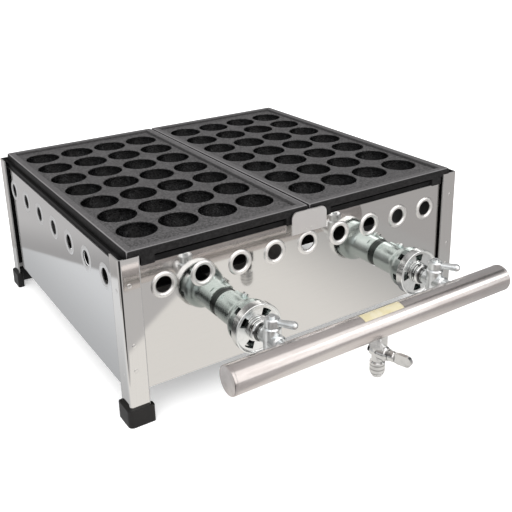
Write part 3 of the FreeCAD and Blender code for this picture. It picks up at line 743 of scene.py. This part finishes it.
@dataclass(frozen=True)
class TableGlow(CardGlow):
    """The table as bright metal mirrors it: a white sheet by the cooker on a greyer table.

    The sheet has a wide part in front of the cooker, cut on a slant at its left, and a
    strip at the cooker's left. A slope is how far X counts against Y in a slanting edge.
    """

    colour: Colour = (0.60, 0.585, 0.58)
    right: Colour = (0.49, 0.475, 0.47)
    sheet: Colour = (0.93, 0.905, 0.87)
    far_sheet: Colour = (0.50, 0.495, 0.49)
    strip: Colour = (0.83, 0.835, 0.845)
    corner: Colour = (0.035, 0.035, 0.035)
    ground: Colour = (0.10, 0.10, 0.10)
    sheet_slope: float = 0.78
    sheet_left: Span = (-368.0, -356.0)
    sheet_right: Span = (335.0, 305.0)
    sheet_front: Span = (-660.0, -600.0)
    sheet_back: Span = (-104.0, -112.0)
    sheet_dims: Span = (50.0, 270.0)
    strip_slope: float = 0.458
    strip_left: Span = (-409.0, -402.0)
    strip_front: Span = (-200.0, -120.0)
    strip_dims: Span = (-300.0, -210.0)
    strip_starts: Span = (-140.0, -100.0)
    table_right: Span = (50.0, 250.0)
    table_left: Span = (-500.0, -405.0)
    table_side: Span = (-160.0, -100.0)
    corner_x: Span = (-240.0, -280.0)
    corner_y: Span = (-150.0, -210.0)
    ground_x: Span = (205.0, 185.0)
    ground_y: Span = (185.0, 165.0)
    centre_y: float = 71.0 * MM

    def paint(self, g: Graph) -> None:
        """The sheet over the table, and the dark ground under the cooker.

        Args:
            g: The material's graph.
        """
        x, y, _ = g.axes()
        line = x - y * self.strip_slope
        right = x.step(self.sheet_right)
        wide = (x * self.sheet_slope + y).step(self.sheet_left) * right
        wide = wide * y.step(self.sheet_front) * y.step(self.sheet_back)
        strip = line.step(self.strip_left) * y.step(self.strip_front) * right

        paper = g.blend(x.step(self.sheet_dims), self.sheet, self.far_sheet)
        beside = g.blend(x.step(self.strip_dims), self.strip, times(self.strip, 0.66))
        paper = g.blend(y.step(self.strip_starts), paper, beside)
        front = g.blend(x.step(self.table_right), self.colour, self.right)
        side = g.blend(line.step(self.table_left), times(self.colour, 1.02), times(self.colour, 0.72))
        table = g.blend(y.step(self.table_side), front, side)
        table = g.blend(x.step(self.corner_x) * y.step(self.corner_y), table, self.corner)

        ground = x.size().step(self.ground_x) * (y - self.centre_y).size().step(self.ground_y)
        self.shine(g, g.blend(ground, g.blend(wide.most(strip), table, paper), self.ground))


# ------------------------------------------------------------------ making pieces
@dataclass
class Maker:
    """Turns bmesh work into objects, and keeps the pieces that ride on a body."""

    pieces: list[bpy.types.Object] = field(default_factory=list)

    def stand(self, name: str, data: bpy.types.ID) -> bpy.types.Object:
        """Puts a mesh, a light or a camera into the scene.

        Args:
            name: The object's name.
            data: What it shows.

        Returns:
            The object.
        """
        made = bpy.data.objects.new(name, data)
        bpy.context.scene.collection.objects.link(made)
        return made

    def shape(self, name: str, mesh: bmesh.types.BMesh, finish: Finish) -> bpy.types.Object:
        """Turns a bmesh into an object.

        Args:
            name: The object's name.
            mesh: The bmesh, in the row frame; it is freed.
            finish: What it is finished in.

        Returns:
            The object.
        """
        data = bpy.data.meshes.new(name)
        mesh.to_mesh(data)
        mesh.free()
        data.materials.append(finish.material())
        return self.stand(name, data)

    def piece(self, name: str, mesh: bmesh.types.BMesh, finish: Finish, body: str, slot: str,
              smooth: bool = True) -> None:
        """Ends a bmesh as a piece of the cooker.

        Args:
            name: The piece's name.
            mesh: The bmesh, in the row frame; it is freed.
            finish: What it is finished in.
            body: The CAD body that it rides on.
            slot: The record's material slot; not used.
            smooth: Whether its faces shade smoothly.
        """
        bmesh.ops.remove_doubles(mesh, verts=mesh.verts[:], dist=MERGE)
        bmesh.ops.recalc_face_normals(mesh, faces=mesh.faces[:])
        for face in mesh.faces:
            face.smooth = smooth
        made = self.shape(name, mesh, finish)
        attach(made, body)
        self.pieces.append(made)

    def profile(self, mesh: bmesh.types.BMesh, outline: Outline, centre: Vector,
                axis: Vector) -> list[bmesh.types.BMVert]:
        """Adds an outline's points, pairs of distance along a unit axis and radius from it."""
        side = axis.orthogonal().normalized()
        return [mesh.verts.new(centre + axis * (a * MM) + side * (r * MM)) for a, r in outline]

    def lathe(self, mesh: bmesh.types.BMesh, outline: Outline, centre: Vector, axis: Vector,
              facets: int) -> None:
        """Spins an outline into a turned shape.

        Args:
            mesh: The bmesh to add to.
            outline: Pairs of distance along the axis and radius; the last joins the first.
            centre: Where the axis starts.
            axis: Its direction, of length 1.
            facets: Facets round the axis.
        """
        verts = self.profile(mesh, outline, centre, axis)
        edges = [mesh.edges.new(pair) for pair in zip(verts, verts[1:] + verts[:1])]
        bmesh.ops.spin(mesh, geom=verts + edges, cent=centre, axis=axis, angle=2 * math.pi,
                       steps=facets, use_merge=True)
        bmesh.ops.remove_doubles(mesh, verts=mesh.verts[:], dist=FINE_MERGE)


MAKER = Maker()


@dataclass(frozen=True)
class Thread:
    """A raised screw thread in millimetres; foot and crest are shares of the pitch."""

    radius: float = 6.2
    rise: float = 0.35
    sunk: float = 0.25
    pitch: float = 0.9
    turns: int = 1
    foot: float = 0.42
    crest: float = 0.08
    facets: int = 28

    def wind(self, centre: Vector, axis: Vector) -> bmesh.types.BMesh:
        """Winds the thread.

        Args:
            centre: Where its axis starts.
            axis: Its direction, of length 1.

        Returns:
            The bmesh.
        """
        mesh = bmesh.new()
        foot, crest = self.foot * self.pitch, self.crest * self.pitch
        root, top = self.radius - self.sunk, self.radius + self.rise
        tooth = ((-foot, root), (-crest, top), (crest, top), (foot, root))
        face = mesh.faces.new(MAKER.profile(mesh, tooth, centre, axis))
        bmesh.ops.spin(mesh, geom=[face], cent=centre, axis=axis,
                       dvec=axis * (self.pitch * MM / self.facets),
                       angle=2 * math.pi * self.turns, steps=self.facets * self.turns)
        return mesh


def paint_node(name: str, finish: Finish) -> None:
    """Gives a CAD node its finish in every material slot.

    Args:
        name: The node.
        finish: The finish.
    """
    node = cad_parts[name]
    if not node.data.materials:
        node.data.materials.append(finish.material())
    for slot in node.material_slots:
        slot.material = finish.material()


def middle(name: str) -> Vector:
    """The middle of a CAD node's box."""
    low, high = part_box(name)
    return (low + high) / 2


# ------------------------------------------------------------------ sub-assemblies
class Assembly:
    """Some of the cooker's nodes, with the small pieces that they carry."""

    def dress(self) -> None:
        """Gives the nodes their finishes; each assembly has its own."""
        raise NotImplementedError

    def build(self) -> None:
        """Makes the small pieces, where there are any."""


@dataclass
class Plates(Assembly):
    """The two cup plates."""

    rim_rise: float = 2.5 * MM
    draft: float = 0.4 * MM

    def dress(self) -> None:
        """Seasoned cast iron, told apart by each plate's own edges."""
        for side in Side:
            name = "plate_" + side.value
            low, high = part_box(name)
            paint_node(name, SeasonedIron("seasoned_iron_" + side.value,
                                          (low.x + self.draft, low.y + self.draft),
                                          (high.x - self.draft, high.y - self.draft),
                                          high.z - self.rim_rise))


@dataclass
class Hearth(Assembly):
    """Sheets, legs, posts, boots, rails and the centre bar with its tab; welds in mm."""

    sheet_in: float = 5.2 * MM
    front_pitch: float = 41.0 * MM
    front_vent_z: float = 134.9 * MM
    side_pitch: float = 48.65 * MM
    side_vent_z: float = 137.8 * MM
    side_vent_shift: float = 4.2 * MM
    side_colour: Colour = (0.70, 0.705, 0.71)
    weld_r: float = 2.3
    weld_h: float = 0.18
    weld_sunk: float = 0.2
    weld_facets: int = 20
    weld_z: tuple[float, ...] = (145.0, 84.0, 58.0)
    weld_inset: float = 9.0
    side_weld_drop: float = 6.0
    tab_weld: Outline = ((-0.2, 0.0), (-0.2, 0.9), (0.0, 0.9), (0.25, 0.5), (0.3, 0.0))
    tab_weld_x: tuple[float, ...] = (-6.4, 0.6)
    tab_weld_z: float = 154.0
    tab_weld_facets: int = 16
    leg_steel: AngleSteel = AngleSteel("leg_steel", (0.77, 0.76, 0.745), (2160.0, 2160.0, 27.0),
                                       0.05, 0.05)
    tab_steel: BrightSheet = BrightSheet("tab_steel", (0.84, 0.83, 0.825), (8100.0, 8100.0, 8100.0),
                                         0.34, 0.04)
    black: SatinBlack = SatinBlack("satin_black")
    rubber: Rubber = Rubber("boot_rubber_black")

    def dress(self) -> None:
        """Each node gets its sheet, paint or rubber."""
        near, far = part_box("leg_fl")[0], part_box("leg_br")[1]
        inner = ((far.x - near.x) / 2 - self.sheet_in, (far.y - near.y) / 2 - self.sheet_in)
        centre_y = (near.y + far.y) / 2
        for end in ("front", "back"):
            paint_node("panel_" + end, VentedSheet(
                end + "_sheet", level=self.front_vent_z, pitch=self.front_pitch,
                inner=inner, centre_y=centre_y))
            paint_node("support_" + end, self.black)
            paint_node("rail_" + end, self.black)
        for side in Side:
            paint_node("panel_" + side.value, VentedSheet(
                side.value + "_sheet", self.side_colour, level=self.side_vent_z,
                start=centre_y + self.side_vent_shift, pitch=self.side_pitch, along_y=True,
                inner=inner, centre_y=centre_y))
            paint_node("rail_" + side.value, self.black)
        for corner in Corner:
            paint_node("leg_" + corner.value, self.leg_steel)
            paint_node("post_" + corner.value, self.black)
            paint_node("boot_" + corner.value, self.rubber)
        for name in ("centre_bar", "centre_tab"):
            paint_node(name, self.tab_steel)

    def build(self) -> None:
        """Spot welds on both faces of each leg, and two on the tab."""
        r, h, sunk = self.weld_r, self.weld_h, -self.weld_sunk
        dome = ((sunk, 0.0), (sunk, r), (0.0, r), (h * 0.55, r * 0.8), (h * 0.9, r * 0.45), (h, 0.0))
        inset = self.weld_inset * MM
        for corner in Corner:
            low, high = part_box("leg_" + corner.value)
            sx, sy = corner.signs
            face_x = low.x if sx < 0 else high.x
            face_y = low.y if sy < 0 else high.y
            mesh = bmesh.new()
            for z in self.weld_z:
                on_end = Vector((face_x - sx * inset, face_y, z * MM))
                on_side = Vector((face_x, face_y - sy * inset, (z - self.side_weld_drop) * MM))
                MAKER.lathe(mesh, dome, on_end, Vector((0, sy, 0)), self.weld_facets)
                MAKER.lathe(mesh, dome, on_side, Vector((sx, 0, 0)), self.weld_facets)
            MAKER.piece("spot_welds_" + corner.value, mesh, self.leg_steel, "hearth", "stainless")
        face_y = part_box("centre_tab")[0].y
        mesh = bmesh.new()
        for x in self.tab_weld_x:
            MAKER.lathe(mesh, self.tab_weld, Vector((x * MM, face_y, self.tab_weld_z * MM)),
                        Vector((0, -1, 0)), self.tab_weld_facets)
        MAKER.piece("tab_welds", mesh, self.tab_steel, "hearth", "stainless")


@dataclass
class GasTrain(Assembly):
    """Burners, mixing tubes, dampers, nozzles, cocks, levers and the manifold pipe; mm."""

    pipe_r: float = 13.6
    bead: Outline = ((-0.5, -0.2), (-0.35, 0.08), (0.0, 0.16), (0.35, 0.08), (0.5, -0.2))
    bead_facets: int = 64
    thread: Thread = Thread()
    thread_gap: float = 0.2
    label_x: Span = (-26.5, 20.5)
    label_arc: tuple[float, float] = (-14.0, 31.0)
    label_gap: float = 0.05
    label_thick: float = 0.12
    label_cells: tuple[int, int] = (24, 16)
    iron: RawIron = RawIron("burner_iron_raw")
    nut: Plated = Plated("zinc_nut", (0.62, 0.625, 0.615), 0.14, 0.06)
    knurl: Colour = (0.82, 0.83, 0.825)
    chrome: Plated = Plated("bright_plating")
    pipe: PolishedPipe = PolishedPipe("pipe_polish")
    film: LabelFilm = LabelFilm("blank_label")

    def dress(self) -> None:
        """Each node gets iron, zinc or bright plating."""
        for side in Side:
            name = side.value
            axis = middle("damper_" + name)
            paint_node("burner_" + name, self.iron)
            paint_node("mixer_" + name, ZincCasting("zinc_casting_" + name, axis.x, axis.z,
                                                    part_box("mixer_" + name)[0].y))
            paint_node("screw_" + name, self.nut)
            paint_node("damper_" + name, TurnedDisc("turned_disc_" + name, axis.x, axis.z))
            paint_node("nozzle_" + name, RidgedPlating("ridged_nut_" + name, self.knurl, 0.14, 0.04,
                                                       start=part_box("nozzle_" + name)[0].y))
            paint_node("cock_" + name, self.chrome)
            paint_node("lever_" + name, self.chrome)
            paint_node("pipe_cap_" + name, self.pipe)
        paint_node("manifold_pipe", self.pipe)

    def build(self) -> None:
        """The blank label, the beads at the pipe's ends and the threads at the nozzles."""
        self.label()
        centre = middle("manifold_pipe")
        bead = tuple((a, self.pipe_r + rise) for a, rise in self.bead)
        for side, end in zip(Side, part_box("manifold_pipe")):
            mesh = bmesh.new()
            MAKER.lathe(mesh, bead, Vector((end.x, centre.y, centre.z)), Vector((side.sign, 0, 0)),
                        self.bead_facets)
            MAKER.piece("cap_bead_" + side.value, mesh, self.pipe, "hearth", "polished_pipe")
        for side in Side:
            nozzle = "nozzle_" + side.value
            centre = middle(nozzle)
            start = Vector((centre.x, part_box(nozzle)[0].y + self.thread_gap * MM, centre.z))
            MAKER.piece("nozzle_thread_" + side.value, self.thread.wind(start, Vector((0, 1, 0))),
                        self.nut, "hearth", "plated_steel", smooth=False)

    def label(self) -> None:
        """A thin blank film bent round the pipe."""
        centre = middle("manifold_pipe")
        r = (self.pipe_r + self.label_gap) * MM
        rows, steps = self.label_cells
        x0, x1 = (v * MM for v in self.label_x)
        a0, a1 = (math.radians(v) for v in self.label_arc)
        start = Vector((0, -math.sin(a0) * r, math.cos(a0) * r))
        mesh = bmesh.new()
        verts = [mesh.verts.new(Vector((x0 + (x1 - x0) * k / rows, centre.y, centre.z)) + start)
                 for k in range(rows + 1)]
        edges = [mesh.edges.new(pair) for pair in zip(verts, verts[1:])]
        bmesh.ops.spin(mesh, geom=verts + edges, cent=centre, axis=Vector((1, 0, 0)),
                       angle=a1 - a0, steps=steps)
        bmesh.ops.remove_doubles(mesh, verts=mesh.verts[:], dist=FINE_MERGE)
        bmesh.ops.recalc_face_normals(mesh, faces=mesh.faces[:])
        face = mesh.faces[0]
        outward = (face.calc_center_median() - centre) * Vector((0, 1, 1))
        if face.normal.dot(outward) < 0:
            bmesh.ops.reverse_faces(mesh, faces=mesh.faces[:])
        bmesh.ops.solidify(mesh, geom=mesh.faces[:], thickness=-self.label_thick * MM)
        MAKER.piece("blank_label", mesh, self.film, "hearth", "polished_pipe")


@dataclass
class Inlet(Assembly):
    """The gas inlet under the pipe: nut, cock, key, tail nut and hose spigot."""

    chrome: Plated = Plated("inlet_plating", (0.66, 0.66, 0.655), 0.09, 0.16)
    black: SatinBlack = SatinBlack("blackened_nut", (0.02, 0.02, 0.02), 0.35)
    barb_pitch: float = 4.2 * MM
    barb_dark: float = 0.5

    def dress(self) -> None:
        """Bright plating, with the tail nut blackened."""
        for name in ("inlet_nut", "inlet_cock", "inlet_key"):
            paint_node(name, self.chrome)
        paint_node("hose_coupler", RidgedPlating(
            "coupler_plating", self.chrome.colour, 0.12, 0.08, start=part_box("hose_coupler")[0].z,
            pitch=self.barb_pitch, along_z=True, dark=self.barb_dark))
        paint_node("inlet_tail", self.black)


# ------------------------------------------------------------------ studio
@dataclass(frozen=True)
class SoftBox:
    """A square soft light; places and side in metres."""

    name: str
    at: Point
    aim: Point
    side: float
    watts: float

    def hang(self) -> None:
        """Hangs the light, turned to what it lights."""
        data = bpy.data.lights.new(self.name, "AREA")
        data.shape = "SQUARE"
        data.size = self.side
        data.energy = self.watts
        made = MAKER.stand(self.name, data)
        made.location = self.at
        made.rotation_euler = (Vector(self.aim) - Vector(self.at)).to_track_quat("-Z", "Y").to_euler()


@dataclass
class Studio:
    """Pale floor, soft light, cards for the bright metal to mirror, and the camera.

    The eye, the sensor and the room are in millimetres, the floor and the far clip in
    metres, angles in degrees. The room is a box of cards, whose bottom is the table.
    """

    eye: Point = (-429.14, -694.74, 452.84)
    yaw: float = 32.304
    pitch: float = 18.986
    roll: float = 1.396
    focal_px: float = 764.51
    frame_px: float = 512.0
    sensor: float = 36.0
    lift: float = -0.15
    far_clip: float = 60.0
    sky: float = 1.30
    sun: float = 0.35
    sun_spread: float = 50.0
    sun_turn: Point = (38.0, -14.0, 0.0)
    boxes: tuple[SoftBox, ...] = (
        SoftBox("soft_box_left", (-1.5, -1.3, 1.7), (0.0, 0.0, 0.1), 0.9, 6.0),
        SoftBox("soft_box_right", (1.5, -1.5, 1.2), (0.0, -0.1, 0.1), 0.7, 4.0),
    )
    floor_half: float = 14.0
    floor_cells: int = 8
    room_half: float = 3000.0
    room_height: float = 3500.0
    ceiling_split: float = -1000.0
    table_height: float = 0.5
    table: TableGlow = TableGlow("table_glow")
    front: CardGlow = CardGlow("wall_front", (1.48, 1.44, 1.42))
    ceiling: CardGlow = CardGlow("ceiling_back", (0.58, 0.56, 0.555))
    back: CardGlow = CardGlow("wall_back", (0.42, 0.42, 0.42))
    left: CardGlow = CardGlow("wall_left", (0.80, 0.81, 0.82))
    right: CardGlow = CardGlow("wall_right", (0.42, 0.42, 0.425))
    dark: CardGlow = CardGlow("dark_flag", (0.03, 0.032, 0.032))
    flag_left: tuple[Point, Point, Point] = ((-1500, -1100, 0), (-1150, -1450, 0), (0, 0, 2400))
    flag_right: tuple[Point, Point, Point] = ((1600, -700, 0), (1600, -150, 0), (0, 0, 2200))

    def camera(self) -> None:
        """The camera, in front of the cooker at its left and above it."""
        data = bpy.data.cameras.new("view")
        data.sensor_width = self.sensor
        data.lens = self.focal_px / self.frame_px * self.sensor
        data.shift_y = self.lift
        data.clip_end = self.far_clip
        made = MAKER.stand("view", data)
        made.location = Vector(self.eye) * MM
        level = Euler((math.radians(90 - self.pitch), 0.0, math.radians(-self.yaw)), "XYZ").to_matrix()
        made.rotation_euler = (level @ Matrix.Rotation(math.radians(-self.roll), 3, "Z")).to_euler()
        bpy.context.scene.camera = made

    def floor(self) -> None:
        """One wide pale sheet."""
        mesh = bmesh.new()
        bmesh.ops.create_grid(mesh, x_segments=self.floor_cells, y_segments=self.floor_cells,
                              size=self.floor_half)
        made = MAKER.shape("floor", mesh, PaleFloor("pale_floor"))

    def lights(self) -> None:
        """An even sky, a broad sun and two soft boxes."""
        world = bpy.data.worlds.new("studio")
        bpy.context.scene.world = world
        world.use_nodes = True
        background = world.node_tree.nodes["Background"]
        background.inputs["Color"].default_value = (*WHITE, 1.0)
        background.inputs["Strength"].default_value = self.sky
        sun = bpy.data.lights.new("broad_sun", "SUN")
        sun.energy = self.sun
        sun.angle = math.radians(self.sun_spread)
        MAKER.stand("broad_sun", sun).rotation_euler = [math.radians(turn) for turn in self.sun_turn]
        for box in self.boxes:
            box.hang()

    def card(self, name: str, start: Point, end: Point, rise: Point, finish: Finish) -> None:
        """A studio card that only bright metal mirrors.

        Args:
            name: The card's name.
            start: One end of its first edge.
            end: The other end.
            rise: From that edge to the one across.
            finish: Its glow.
        """
        mesh = bmesh.new()
        first, last, up = (Vector(point) for point in (start, end, rise))
        mesh.faces.new([mesh.verts.new(corner * MM) for corner in (first, last, last + up, first + up)])
        made = MAKER.shape(name, mesh, finish)
        made.visible_camera = False
        made.visible_diffuse = False
        made.visible_shadow = False
        made.visible_transmission = False

    def cards(self) -> None:
        """What the bright metal mirrors: the table, walls and ceiling, and two dark flags."""
        w, h, split, table = self.room_half, self.room_height, self.ceiling_split, self.table_height
        up = (0, 0, h)
        for name, start, end, rise, glow in (
            ("table_glow", (-w, -w, table), (w, -w, table), (0, 2 * w, 0), self.table),
            ("wall_front", (-w, -w, 0), (w, -w, 0), up, self.front),
            ("ceiling_front", (-w, -w, h), (w, -w, h), (0, w + split, 0), self.front),
            ("ceiling_back", (-w, split, h), (w, split, h), (0, w - split, 0), self.ceiling),
            ("wall_back", (-w, w, 0), (w, w, 0), up, self.back),
            ("wall_left", (-w, -w, 0), (-w, w, 0), up, self.left),
            ("wall_right", (w, -w, 0), (w, w, 0), up, self.right),
            ("flag_left", *self.flag_left, self.dark),
            ("flag_right", *self.flag_right, self.dark),
        ):
            self.card(name, start, end, rise, glow)

    def build(self) -> None:
        """Everything round the cooker but the camera."""
        self.floor()
        self.lights()
        self.cards()
        view = bpy.context.scene.view_settings
        view.view_transform = "Standard"
        view.look = "None"
        view.exposure = 0.0
        view.gamma = 1.0


def main() -> None:
    """Sets the camera, builds the cooker's assemblies in order and reports each piece."""
    logging.basicConfig(level=logging.INFO, format="%(name)s: %(message)s")
    studio = Studio()
    studio.camera()
    for assembly in (Plates(), Hearth(), GasTrain(), Inlet()):
        assembly.dress()
        assembly.build()
        LOG.info("%s done", type(assembly).__name__)
    studio.build()
    for name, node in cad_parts.items():
        LOG.info("node %s in %s", name, node.material_slots[0].material.name)
    for piece in MAKER.pieces:
        LOG.info("piece %s of %d faces in %s", piece.name, len(piece.data.polygons),
                 piece.data.materials[0].name)


if __name__ == "__main__":
    main()
